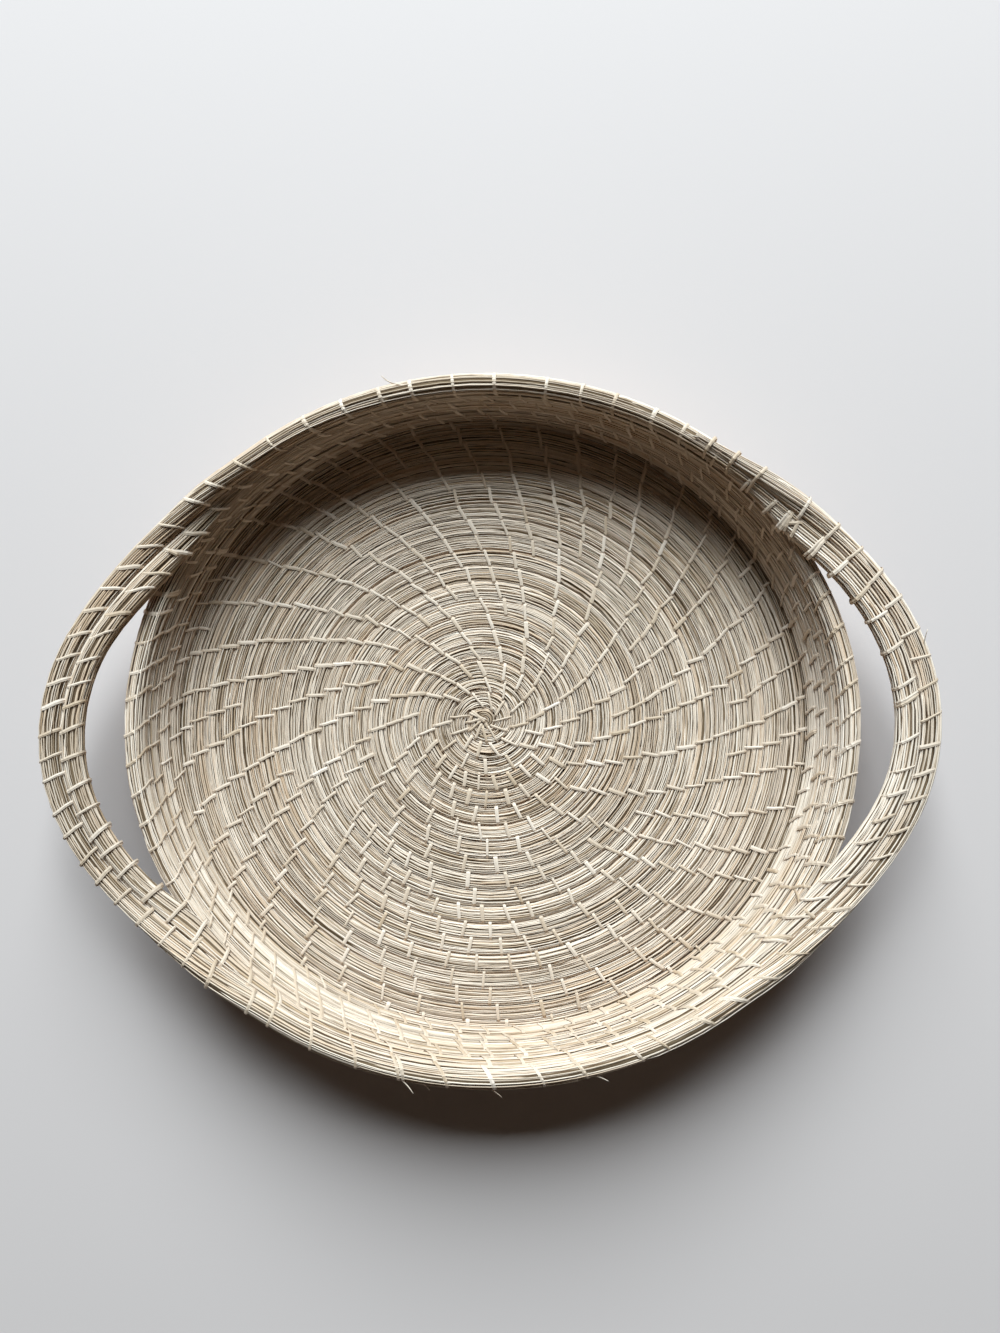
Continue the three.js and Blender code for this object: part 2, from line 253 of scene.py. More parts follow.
class StitchLook(bpy.types.PropertyGroup):
    """How the rows are sewn."""

    width: a_length("Strand width", "Width of a sewing strand", 0.0017)
    thickness: a_length("Strand thickness", "Thickness of a sewing strand", 0.00046)
    first_row: a_number("First row", "Turn at which the sewing starts", 0.55)
    least: a_number("Stitches at the knot", "Stitches in a turn of no radius", 10)
    growth: a_number("Stitch growth", "Stitches in a turn for each metre of radius", 273)
    swirl: a_number("Swirl", "How much a line of stitches turns as it goes out", 0.47)
    evening: a_share("Evening", "How fast stitches move to even spacing", 0.12)
    uneven: a_length("Unevenness", "Random shift of each stitch along its row", 0.0007)
    pierce: a_length("Pierce", "How far a stitch reaches into the row before", 0.0018)
    slant: a_length("Slant", "Half the way along its row that a stitch goes", 0.0012)
    slant_skew: a_length("Slant skew", "How much more slant the base's stitches have at the back", 0.0008)
    wall_slant: a_length("Wall slant", "Slant of the stitches of the wall", 0.0025)
    top_slant: a_length("Top slant", "Slant in the wall's top row under the handles", 0.0042)
    rim_slant: a_length("Rim slant", "Slant on the rim at the back", 0.0012)
    front_slant: a_length("Front slant", "Slant on the rim at the front", 0.0032)
    root_slant: a_length("Root slant", "What the first root of each handle adds to the rim's slant", 0.0018)
    slant_spread: a_length("Slant spread", "Random part of the slant", 0.0006)
    wall_spacing: a_length("Wall spacing", "Distance of the stitches on the wall", 0.0155)
    rim_spacing: a_length("Rim spacing", "Distance of the stitches on the rim at front and back", 0.022)
    rim_skew: a_number("Rim skew", "Share by which the spacing is wider at the front than on average", 0.05)
    handle_spacing: a_length("Handle spacing", "Distance of the stitches on the handles", 0.0138)
    handle_skew: a_number("Handle skew", "Share by which the spacing is wider on the right handle", 0.08)
    twin_share: a_share("Twin share", "Share of the rim's stitches with a second strand beside them", 0.04)
    width_spread: a_share("Width spread", "Random part of a strand's width", 0.16)
    knot_width: a_share("Knot width", "Width and paleness of the first stitches, as a share of the others", 0.6)
    paleness: a_share("Paleness", "Middle tone of the strands, between dark and pale", 0.5)
    paleness_spread: a_share("Paleness spread", "Spread of the strands' tones", 0.16)
    knot_loops: a_count("Knot loops", "Loops of strand round the knot", 2)
    stations: a_count("Stations", "Sections round each stitch", 16)
    seed: a_count("Seed", "Seed of the stitches' random choices", 11)


class GrassFinish(bpy.types.PropertyGroup):
    """Colours of the dry grass, and the painted shade inside the bundle."""

    stalk_pale: a_colour("Pale stalk", "Colour of the palest stalks", 0.87, 0.73, 0.605, 1)
    stalk_dark: a_colour("Dark stalk", "Colour of the darkest stalks", 0.39, 0.265, 0.16, 1)
    stalk_warm: a_colour("Warm stalk", "Colour that sun-browned stalks and patches turn to", 0.61, 0.42, 0.27, 1)
    strand_pale: a_colour("Pale strand", "Colour of the palest sewing strands", 0.82, 0.68, 0.565, 1)
    strand_dark: a_colour("Dark strand", "Colour of the darkest sewing strands", 0.5, 0.36, 0.24, 1)
    # The core's two colours are painted shade, for the shade between and under the stalks.
    core_painted_shade: a_colour("Core", "Colour of the shaded stalks inside the bundle", 0.42, 0.3, 0.18, 1)
    core_deepest_painted_shade: a_colour("Dark core", "Darkest colour inside the bundle", 0.09, 0.052, 0.025, 1)


class StageLook(bpy.types.PropertyGroup):
    """Floor, light and camera."""

    floor_colour: a_colour("Floor", "Colour of the floor", 0.571, 0.492, 0.462, 1)
    floor_size: a_length("Floor size", "Side of the floor", 4.0)
    light_elevation: an_angle("Light elevation", "Height of the main lamp behind the tray", 37.8)
    light_direction: an_angle("Light direction", "Side from which the main lamp shines, seen from above", 91)
    light_distance: a_length("Light distance", "Distance of the main lamp", 4.0)
    light_width: a_length("Light width", "Width of the main lamp", 2.3)
    light_height: a_length("Light height", "Height of the main lamp", 2.5)
    light_colour: a_colour("Light colour", "Colour of the main lamp", 0.78, 0.92, 1.0)
    light_power: FloatProperty(name="Light power", description="Power of the main lamp", default=412, unit="POWER")
    sky_colour: a_colour("Sky colour", "Colour of the even light from all round", 1.0, 0.62, 0.25, 1)
    sky_strength: a_number("Sky", "Strength of the even light from all round", 0.022)
    backdrop_colour: a_colour("Backdrop", "Colour that is seen behind the floor", 0.62, 0.63, 0.64, 1)
    camera_height: a_length("Camera height", "Height of the camera above the floor", 0.555)
    camera_shift: a_place("Camera place", "Place of the camera, in the picture's axes", 0.00518, 0.01184)
    camera_roll: an_angle("Camera roll", "Turn of the picture", 1.75)
    camera_tilt: an_angle("Camera tilt", "Tilt of the camera from straight down", 1.92)
    lens: a_number("Lens", "Focal length for a 36 mm sensor on the long side", 27.0)


# --- The bundle's path ---


def smooth(value, low, high):
    """A step from 0 at low to 1 at high that starts and ends level: 3x squared less 2x cubed."""
    share = np.clip((value - low) / (high - low), 0, 1)
    return share * share * (3 - 2 * share)


def lerp(first, second, share):
    """The straight mix of two values."""
    return first + (second - first) * share


def hump(angle, half_arc):
    """A raised cosine: one at no angle, and nothing from half the arc on."""
    return (1 + np.cos(np.pi * np.clip(np.abs(angle) / half_arc, 0, 1))) / 2


def unit(vectors):
    """Vectors of the same direction and length one."""
    return vectors / np.linalg.norm(vectors, axis=-1, keepdims=True)


def spanned(pair, first, second):
    """Vectors from two coordinates along two directions: the sum of each coordinate times its direction."""
    return pair[..., :1] * first + pair[..., 1:] * second


class Bundle:
    """The one grass bundle, as a curve over its turns.

    In the base the radius is the row pitch times the turn, and in the knot half the width that is left there. After
    the fold each row stands on the row one turn before it, a step of both radii and the gap away, in a direction
    that turns from flat to the wall's lean. The first rim row bows out by a raised cosine at each handle, and the
    row after it rolls over to its outer side there.
    """

    def __init__(self, size):
        """Turns where the base and the wall end, the place of the solid rim, and lengths along the bundle by turn."""
        self.size = size
        self.pitch = 2 * size.bundle_radius + size.row_gap
        self.flat_half = size.bundle_radius * FLAT_SIDE
        self.fold = size.base_radius / self.pitch
        self.rim = self.fold + size.wall_rows + (size.rim_start - size.fold_angle) / TAU
        self.last = self.fold + size.wall_rows + size.rim_rows
        handle_width = size.rim_rows * 2 * size.handle_radius + (size.rim_rows - 1) * size.row_gap
        self.handle_inner = size.handle_reach - handle_width + size.handle_radius
        self.shift = np.array([0.0, 0.0, size.stand])
        rim = self.centre(np.linspace(self.rim, self.last, RIM_SAMPLES))
        low, high = (np.array(corner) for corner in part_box("rim_coil"))
        self.shift[:2] = ((low + high) / 2 - (rim.min(0) + rim.max(0)) / 2)[:2]
        self.turns = np.linspace(size.knot_turn, self.last, PATH_SAMPLES)
        steps = np.linalg.norm(np.diff(self.centre(self.turns), axis=0), axis=1)
        self.runs = np.concatenate([[0], np.cumsum(steps)])
        self.length = self.runs[-1]

    def turn_at(self, run):
        """The turn at a length along the bundle."""
        return np.interp(run, self.runs, self.turns)

    def run_at(self, turn):
        """The length along the bundle at a turn."""
        return np.interp(turn, self.turns, self.runs)

    def angle(self, turn):
        """Direction of a turn, seen from above."""
        return self.size.fold_angle + TAU * (turn - self.fold)

    def rim_turn(self, degrees, row):
        """The turn in a direction on a rim row, counted from below."""
        return self.rim + np.asarray(row) + (np.radians(degrees) - self.size.rim_start) % TAU / TAU

    def from_handle(self, turn):
        """Angle between a turn and the nearer handle's middle."""
        return np.abs(np.arcsin(np.sin(self.angle(turn))))

    def bow(self, turn):
        """One in the middle of a handle and nothing outside it, by a raised cosine."""
        return hump(self.from_handle(turn), self.size.handle_spread)

    def roll(self, turn):
        """One where the rim rows lie side by side and nothing where they lie on each other."""
        return 1 - smooth(self.from_handle(turn), self.size.handle_flat, np.pi - self.size.rim_start)

    def upright(self, turn):
        """Nothing in the base and one in the wall, by a smooth step over the fold."""
        return smooth(turn, self.fold, self.fold + self.size.fold_turns)

    def front(self, turn):
        """One at the front of wall and rim, by the sine of the direction, and nothing at the back and in the base. It
        places the painted shade of the front.
        """
        return np.where(turn > self.fold, np.clip(-np.sin(self.angle(turn)), 0, 1), 0)

    def radius(self, turn):
        """Half the bundle's thickness: plain, then swelling to the rim, thicker in the handles, thin at the tail."""
        size = self.size
        swell = size.rim_swell / TAU
        thick = lerp(size.bundle_radius, size.rim_radius, smooth(turn, self.rim, self.rim + swell))
        handle = smooth(turn, self.rim - 1, self.rim - 1 + swell) * self.bow(turn)
        thick = lerp(thick, size.handle_radius, handle)
        return lerp(thick, size.tail_radius, smooth(turn, self.last - size.tail_arc / TAU, self.last))

    def spread(self, turn):
        """How much wider a row is at the handle roots: the first rim row inwards, and the wall's top row outwards.

        Each is a sum of raised cosines of the angle from the roots' directions.
        """
        inwards, outwards = 0, 0
        for direction, inner, outer, arc in ROOTS:
            near = hump((self.angle(turn) - np.radians(direction) + np.pi) % TAU - np.pi, np.radians(arc))
            inwards, outwards = inwards + inner * near, outwards + outer * near
        in_rim = (turn >= self.rim) & (turn < self.rim + 1)
        in_wall = (turn >= self.rim - 1) & (turn < self.rim)
        return np.where(in_rim, inwards, 0), np.where(in_wall, outwards, 0)

    def oval_row(self, turn):
        """Radius, height and direction of a row in its radial plane before the handles bow out."""
        size = self.size
        risen = np.clip(np.ceil(turn - self.fold), 0, None)
        flat = turn - risen
        radius = self.pitch * np.where(flat < KNOT_EDGE, (flat + KNOT_EDGE) / 2, flat)
        height = np.full_like(radius, self.flat_half)
        lean = np.full_like(radius, np.pi / 2)
        for level in range(int(risen.max())):
            at = turn - risen + level + 1
            side = (1 + np.cos(2 * self.angle(at))) / 2
            wall = lerp(size.lean_at_front, size.lean_at_sides, side)
            turned = lerp(np.pi / 2, wall, smooth(at - self.fold, 0, size.fold_turns))
            step = np.where(risen > level, self.radius(at) + self.radius(at - 1) + size.row_gap, 0)
            radius = radius + step * np.sin(turned)
            height = height + step * np.cos(turned)
            lean = np.where(risen > level, turned, lean)
        stretch = 1 + size.base_stretch / size.base_radius * np.cos(2 * self.angle(turn))
        return radius * stretch, height, lean

    def row(self, turn):
        """Radius, height and direction of a row in its radial plane."""
        size = self.size
        upper = turn >= self.rim + 1
        lower = np.where(upper, turn - 1, turn)
        radius, height, lean = self.oval_row(lower)
        in_rim = turn >= self.rim
        bow = np.where(in_rim, self.bow(lower), 0)
        lean = np.where(in_rim, lerp(lean, np.pi / 2, self.roll(lower)), lean)
        radius = lerp(radius, self.handle_inner, bow)
        height = height + size.handle_lift * bow
        sunk = 1 - size.tail_hug * smooth(turn, self.last - TAIL_SINK * size.tail_arc / TAU, self.last)
        step = np.where(upper, (self.radius(turn) + self.radius(lower) + size.row_gap) * sunk, 0)
        return radius + step * np.sin(lean), height + step * np.cos(lean), lean

    def centre(self, turn):
        """Points of the bundle's middle line."""
        radius, height, _ = self.row(turn)
        angle = self.angle(turn)
        drift = np.clip(1 - turn / self.fold, 0, None)
        x = self.size.knot_offset[0] * drift + radius * np.cos(angle)
        y = self.size.knot_offset[1] * drift + radius * np.sin(angle)
        along, across = self.axes(turn)
        inwards, outwards = self.spread(turn)
        moved = outwards[..., None] / 2 * across - inwards[..., None] / 2 * along
        return np.stack([x, y, height], -1) + moved + self.shift

    def axes(self, turn):
        """Two directions across the bundle: towards the next row, and out of the tray (down in the base)."""
        lean = self.row(turn)[2]
        angle = self.angle(turn)
        outwards = np.stack([np.cos(angle), np.sin(angle), np.zeros_like(angle)], -1)
        along = np.sin(lean)[..., None] * outwards + np.cos(lean)[..., None] * UP
        across = np.cos(lean)[..., None] * outwards - np.sin(lean)[..., None] * UP
        return along, across


def skin(section, along_half, across_half, flatness):
    """A rounded section between an ellipse and a rectangle.

    The reach in a direction is (|cos / a| to the n plus |sin / b| to the n) to the power -1/n. Gives the two
    coordinates of the point at each angle and of the outward normal there, which is the gradient of that sum.
    """
    cos, sin = np.cos(section), np.sin(section)
    flat, deep = np.abs(cos / along_half), np.abs(sin / across_half)
    reach = (flat ** flatness + deep ** flatness) ** (-1 / flatness)
    along_slope = np.sign(cos) * flat ** (flatness - 1) / along_half
    across_slope = np.sign(sin) * deep ** (flatness - 1) / across_half
    return np.stack([reach * cos, reach * sin], -1), unit(np.stack([along_slope, across_slope], -1))


def girth_table(squash, flatness):
    """Angles round a rounded section of half width one, and the summed length of its chords up to each."""
    angles = np.linspace(0, TAU, GIRTH_SAMPLES)
    points, _ = skin(angles, np.ones_like(angles), np.full_like(angles, squash), flatness)
    return angles, np.concatenate([[0], np.cumsum(np.linalg.norm(np.diff(points, axis=0), axis=1))])


def section_flatness(bundle, look, turn):
    """The exponent of the bundle's section, which gets rounder where the rim starts and flatter in the handles."""
    rim = lerp(look.rim_flatness, look.handle_flatness, bundle.roll(turn))
    return lerp(look.flatness, rim, smooth(turn, bundle.rim - RIM_BLEND, bundle.rim))


def section_halves(bundle, look, turn):
    """Half the bundle's section towards the next row, where it fills the gap, and out of the tray.

    In the knot the half width is half the way from the middle to the next row, which is the turn plus a half in rows.
    """
    share = np.clip(turn + KNOT_EDGE, LEAST_SHARE, 1)
    radius = bundle.radius(turn)
    inwards, outwards = bundle.spread(turn)
    along_half = (radius + bundle.size.row_gap * look.gap_fill) * share + inwards / 2
    squash = lerp(look.squash, look.rim_squash, smooth(turn, bundle.rim - RIM_BLEND, bundle.rim))
    return along_half, radius * squash * np.sqrt(share) + outwards / 2


# --- Surfaces ---


class Surface(NamedTuple):
    """Closed tubes as arrays: points, four-sided faces, end faces, UV of the faces' corners and a tone per point."""

    points: np.ndarray
    quads: np.ndarray
    ends: np.ndarray
    uv: np.ndarray
    tone: np.ndarray


def tubes(centre, outward, half_width, half_height, tone, sides, closed=False):
    """Tubes along rows of points, each with one tone.

    Ring corner j of a station is its centre, plus the side direction times half width times cos, plus the outward
    direction times half height times sin, of j full turns over the number of sides. The side direction is outward
    cross the path's direction. A closed tube joins its last ring to its first, an open one gets two end faces.
    """
    count, stations, _ = centre.shape
    if closed:
        heading = unit(np.roll(centre, -1, 1) - np.roll(centre, 1, 1))
    else:
        heading = unit(np.gradient(centre, axis=1))
    side = unit(np.cross(outward, heading))
    above = np.cross(heading, side)
    turn = TAU * np.arange(sides) / sides
    half_width, half_height, tone = (
        np.broadcast_to(values, (count, stations)) for values in (half_width, half_height, tone))
    wide = side[:, :, None] * (half_width[:, :, None] * np.cos(turn))[..., None]
    high = above[:, :, None] * (half_height[:, :, None] * np.sin(turn))[..., None]
    points = (centre[:, :, None] + wide + high).reshape(-1, 3)

    spans = stations if closed else stations - 1
    tube, span, corner = np.meshgrid(np.arange(count), np.arange(spans), np.arange(sides), indexing="ij")
    here = (tube * stations + span) * sides
    ahead = (tube * stations + (span + 1) % stations) * sides
    beside = (corner + 1) % sides
    quads = np.stack([here + corner, here + beside, ahead + beside, ahead + corner], -1).reshape(-1, 4)
    first = (np.arange(count) * stations * sides)[:, None]
    ring = np.arange(sides)
    last = first + (stations - 1) * sides
    ends = np.empty((0, sides), int) if closed else np.concatenate([first + ring[::-1], last + ring])

    steps = np.linalg.norm(np.diff(centre, axis=1, append=centre[:, :1]), axis=2)
    run = np.concatenate([np.zeros((count, 1)), np.cumsum(steps, 1)], 1)
    begin, finish = run[tube, span], run[tube, span + 1]
    left, right = corner / sides, (corner + 1) / sides
    corners = [(left, begin), (right, begin), (right, finish), (left, finish)]
    uv = np.stack([np.stack(pair, -1) for pair in corners], -2).reshape(-1, 2)
    uv = np.concatenate([uv, np.zeros((ends.size, 2))])
    return Surface(points, quads, ends, uv, np.repeat(tone.ravel(), sides))


def joined(first, second):
    """Two surfaces of closed tubes, which have no end faces, as one."""
    moved = second._replace(quads=second.quads + len(first.points))
    return Surface(*(np.concatenate(pair) for pair in zip(first, moved)))


def add_piece(name, surface, material, slot, nodes=()):
    """Puts a surface into a mesh object of the tray, with its finish, and hides the solids that it stands for."""
    mesh = bpy.data.meshes.new(name)
    corners = np.concatenate([surface.quads.ravel(), surface.ends.ravel()])
    sizes = np.concatenate([np.full(len(surface.quads), 4), np.full(len(surface.ends), surface.ends.shape[1])])
    starts = np.concatenate([[0], np.cumsum(sizes)[:-1]])
    mesh.vertices.add(len(surface.points))
    mesh.vertices.foreach_set("co", surface.points.astype(np.float32).ravel())
    mesh.loops.add(len(corners))
    mesh.loops.foreach_set("vertex_index", corners.astype(np.int32))
    mesh.polygons.add(len(sizes))
    mesh.polygons.foreach_set("loop_start", starts.astype(np.int32))
    mesh.update(calc_edges=True)
    layer = mesh.uv_layers.new(name="run")
    layer.uv.foreach_set("vector", surface.uv.astype(np.float32).ravel())
    tone = mesh.attributes.new("tone", "FLOAT", "POINT")
    tone.data.foreach_set("value", surface.tone.astype(np.float32))
    if mesh.validate():
        raise RuntimeError(f"the surface of {name} has faulty faces")
    mesh.materials.append(material)
    if slot == "strand":
        mesh.shade_flat()
    piece = bpy.data.objects.new(name, mesh)
    bpy.context.scene.collection.objects.link(piece)
    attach(piece, "root")
    if nodes:
        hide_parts(*nodes)
    return piece


# --- Stalks of the bundle ---


class Stalks(NamedTuple):
    """Where each stalk starts and ends along the bundle, and its lane."""

    start: np.ndarray
    end: np.ndarray
    lane: np.ndarray


def lay_stalks(bundle, look):
    """Stalks end to end in each lane of the whole bundle, each a little past the start of the next."""
    rng = np.random.default_rng(look.seed)
    rows = []
    for lane in range(look.lanes):
        at = -rng.uniform(0, look.length)
        while at < bundle.length:
            around = bundle.pitch * bundle.turn_at(max(at, 0))
            length = np.clip(look.bend * around, look.least_length, look.length) * rng.uniform(*LENGTH_RANGE)
            if at + length > 0:
                rows.append((at, at + length, lane))
            at += length * (1 - look.overlap)
    start, end, lane = np.array(rows).T
    return Stalks(np.clip(start, 0, None), np.clip(end, None, bundle.length), lane)


def stalk_tones(bundle, look, middle, tone, dark):
    """Tones of the stalks from their random tones: dark ones and the knot's less pale, some stretches more or less.

    The rim's tone follows the cosine of the angle from its palest place, and the wall's right gets paler by the
    cosine of its direction: this is painted light and shade. Wall and rim get darker towards the front, which is
    painted shade.
    """
    tone = np.where(dark, tone * DARK_TONE, tone)
    tone = tone * lerp(KNOT_TONE, 1, smooth(middle, 0, KNOT_TONE_TURNS))
    angle = bundle.angle(middle)
    # Painted light and shade on the rim and on the wall's right.
    side = np.where(middle > bundle.rim, np.cos(angle + look.painted_light_turn), 0)
    in_wall = (middle > bundle.fold) & (middle < bundle.rim)
    side = side + np.where(in_wall, np.clip(np.cos(angle), 0, 1), 0)
    # The darker front here is painted shade.
    return np.clip(tone + look.rim_painted_light * side - look.front_painted_shade * bundle.front(middle), 0, 1)


def stalk_surface(bundle, look, first_turn, last_turn):
    """The stalks whose middle lies between two turns.

    A stalk's middle line is the bundle's skin at its lane, less its depth. It strays from the lane by a shift, by a
    slow wave and by a drift, to which the drift's cube adds so that a few stalks cross the others. Its ends go deeper
    over the tuck's length and get thinner, and the fine stalks lie on the skin.
    """
    stalks = lay_stalks(bundle, look)
    rng = np.random.default_rng(look.seed + 1)
    count = len(stalks.start)
    shift, drift, wave, phase, depth, width = rng.uniform(-1, 1, (6, count, 1))
    fine = rng.uniform(0, 1, (count, 1)) < look.fine_share
    tone = np.clip(rng.normal(look.paleness, look.paleness_spread, (count, 1)), 0, 1)
    dark = rng.uniform(0, 1, (count, 1)) < look.dark_share
    middle = bundle.turn_at((stalks.start + stalks.end) / 2)
    tone = stalk_tones(bundle, look, middle[:, None], tone, dark)
    chosen = (middle >= first_turn) & (middle < last_turn) & (stalks.end - stalks.start > look.least_length / 2)
    shift, drift, wave, phase, depth, width, fine, tone = (
        values[chosen] for values in (shift, drift, wave, phase, depth, width, fine, tone))

    share = np.linspace(0, 1, look.stations)
    start, end = stalks.start[chosen, None], stalks.end[chosen, None]
    run = lerp(start, end, share)
    turn = bundle.turn_at(run)
    angle, bow = bundle.angle(turn), bundle.bow(turn)
    stray = drift * (1 + CROSSING * drift ** 2) * (share - 0.5)
    stray = stray + WAVE * wave * np.sin(TAU * (WAVE_COUNT * share + phase))
    angles, girth = girth_table(look.squash, (look.flatness + look.rim_flatness) / 2)
    top_left = bow * np.clip(-np.cos(angle), 0, 1) * (turn > bundle.rim - 1) * (turn < bundle.rim)
    wander = look.wander + look.loose_wander * top_left
    lane = (stalks.lane[chosen, None] + look.jitter * shift + wander * stray) / look.lanes
    section = np.interp(lane % 1, girth / girth[-1], angles)
    past = np.where(end < bundle.length, end - run, look.tuck)
    tip = 1 - smooth(np.minimum(run - start, past), 0, np.minimum(look.tuck, (end - start) * TUCK_SHARE))
    sunk = look.sink * (TIP_DEPTH * tip + np.where(fine, -FINE_RISE, (1 + depth) / 2))

    along_half, across_half = section_halves(bundle, look, turn)
    slack = look.handle_slack * bow * (turn > bundle.rim) * (1 - np.cos(angle))
    slack = slack + look.wall_slack * bundle.upright(turn)
    half_width = girth[-1] * along_half / look.lanes / 2 * look.fullness * (1 - slack)
    half_width = half_width * (1 + look.thick_spread * width) * (1 - TIP_THINNING * tip)
    half_width = half_width * np.where(fine, look.fine_width, 1)
    point, normal = skin(section, along_half, across_half, section_flatness(bundle, look, turn))
    along, across = bundle.axes(turn)
    outward = spanned(normal, along, across)
    centre = bundle.centre(turn) + spanned(point, along, across)
    centre = centre - outward * (sunk + half_width * STALK_DEPTH)[..., None]
    return tubes(centre, outward, half_width, half_width * STALK_HEIGHT, tone, STRAND_SIDES)


def core_surface(bundle, look, first_turn, last_turn):
    """The inside of the bundle, coloured dark as painted shade: one tube along it, under the stalks, that closes to a
    point at both ends.

    It nearly meets the tubes of the rows beside it, but not in the handles. Where the base turns up into the wall it
    lies higher, so that it nearly meets the row on top of it.
    """
    turn = np.linspace(first_turn, last_turn, int((last_turn - first_turn) * CORE_STEPS))[None]
    along_half, across_half = section_halves(bundle, look, turn)
    _, across = bundle.axes(turn)
    risen = bundle.upright(turn + 1) * (1 - bundle.upright(turn))
    free = np.where(turn > bundle.rim, bundle.bow(turn), 0)
    half_step = 0.5 / CORE_STEPS
    shrink = lerp(CORE_TIP, 1, smooth(np.minimum(turn - first_turn, last_turn - turn), 0, half_step))
    width = np.maximum(along_half - lerp(CORE_SIDE_INSET, CORE_INSET, free), CORE_LEAST * along_half) * shrink
    height = np.maximum(across_half - CORE_INSET + CORE_SWELL * risen, CORE_LEAST * across_half) * shrink
    centre = bundle.centre(turn) - (CORE_RISE * risen)[..., None] * across
    return tubes(centre, -across, width, height, CORE_SHADE_TONE, CORE_SIDES)


def loose_surface(bundle, look):
    """Loose ends of stalks on the rim.

    Each starts under the skin, runs on along its row and bends away from it by the square of the way.
    """
    degrees, row, section, length, lift = np.array(LOOSE_ENDS).T[:, :, None]
    turn = bundle.rim_turn(degrees, row)
    along_half, across_half = section_halves(bundle, look, turn)
    point, normal = skin(np.radians(section), along_half, across_half, look.rim_flatness)
    along, across = bundle.axes(turn)
    outward = spanned(normal, along, across)
    share = np.linspace(0, 1, LOOSE_STATIONS)
    centre = bundle.centre(turn) + spanned(point, along, across)
    centre = centre + (length * share)[..., None] * np.cross(along, across)
    centre = centre + (lift * share ** 2 - LOOSE_DEPTH * look.sink * (1 - share))[..., None] * outward
    half_width = lerp(*LOOSE_HALF_WIDTHS, share)
    tone = look.paleness + look.paleness_spread * np.cos(degrees)
    return tubes(centre, outward, half_width, half_width, np.clip(tone, 0, 1), STRAND_SIDES)


# --- Sewing strands ---


def sew_rows(bundle, look):
    """The turn of every stitch.

    Each row takes over the stitches of the row before, one turn on and a little further round, by the swirl times the
    logarithm of the growth. Where two stand more than one and a half spacings apart a new one starts between them,
    and then all move towards the middle of their neighbours.
    """
    rng = np.random.default_rng(look.seed)
    count = int(look.least + look.growth * bundle.pitch * look.first_row)
    turn = look.first_row + np.arange(count) / count
    rows = [turn]
    upright = bundle.fold + bundle.size.fold_turns
    while turn[0] < upright:
        turn = turn + 1 + look.swirl * np.log1p(1 / turn) / TAU
        around = bundle.pitch * np.minimum(turn, bundle.fold + 1)
        wanted = 1 / (look.least + look.growth * around)
        gaps = np.diff(turn, append=turn[0] + 1)
        turn = np.sort(np.concatenate([turn, (turn + gaps / 2)[gaps > SPLIT_AT * wanted]]))
        around = bundle.pitch * np.minimum(turn, bundle.fold + 1)
        before, after = np.roll(turn, 1), np.roll(turn, -1)
        before[0] -= 1
        after[-1] += 1
        turn = turn + look.evening * ((before + after) / 2 - turn)
        turn = np.sort(turn + rng.normal(0, look.uneven, len(turn)) / (TAU * around))
        rows.append(turn)
    turn = np.concatenate(rows)
    return np.concatenate([turn[turn < upright], sew_upright(bundle, look, rng, upright)])


def sew_upright(bundle, look, rng, first_turn):
    """The turns of the wall's and the rim's stitches.

    There is one whenever the length over the local spacing has grown by one, from half a spacing on.
    """
    turn = np.linspace(first_turn, bundle.last - bundle.size.tail_arc / TAU, PATH_SAMPLES)
    angle = bundle.angle(turn)
    rim = look.rim_spacing * (1 - look.rim_skew * np.sin(angle))
    handle = look.handle_spacing * (1 + look.handle_skew * np.cos(angle))
    spacing = np.where(turn < bundle.rim, look.wall_spacing, lerp(rim, handle, np.cos(angle) ** 2))
    stitches = np.concatenate([[0], np.cumsum(np.diff(bundle.run_at(turn)) / spacing[1:])])
    wanted = np.arange(0.5, stitches[-1])
    wanted = wanted + rng.normal(0, UPRIGHT_UNEVEN, len(wanted))
    beside = TWIN_APART * look.width / look.rim_spacing
    twins = wanted[rng.uniform(0, 1, len(wanted)) < look.twin_share] + beside
    return np.interp(np.concatenate([wanted, twins]), stitches, turn)


def stitch_slant(bundle, look, turn):
    """Slant of a stitch at a turn.

    In the base it follows the sine of the direction. It changes to the wall's over the fold, and to the top row's
    under the handles. On the rim it changes from back to front, and a raised cosine at each handle's first root adds
    to it.
    """
    angle = bundle.angle(turn)
    slant = lerp(look.slant + look.slant_skew * np.sin(angle), look.wall_slant, bundle.upright(turn))
    slant = lerp(slant, look.top_slant, np.where(turn >= bundle.rim - 1, bundle.bow(turn), 0))
    near_root = hump(np.arctan(np.tan(angle)) + bundle.size.handle_spread, ROOT_ARC)
    rim_slant = lerp(look.rim_slant, look.front_slant, (1 - np.sin(angle)) / 2) + look.root_slant * near_root
    return np.where(turn >= bundle.rim, rim_slant, slant)


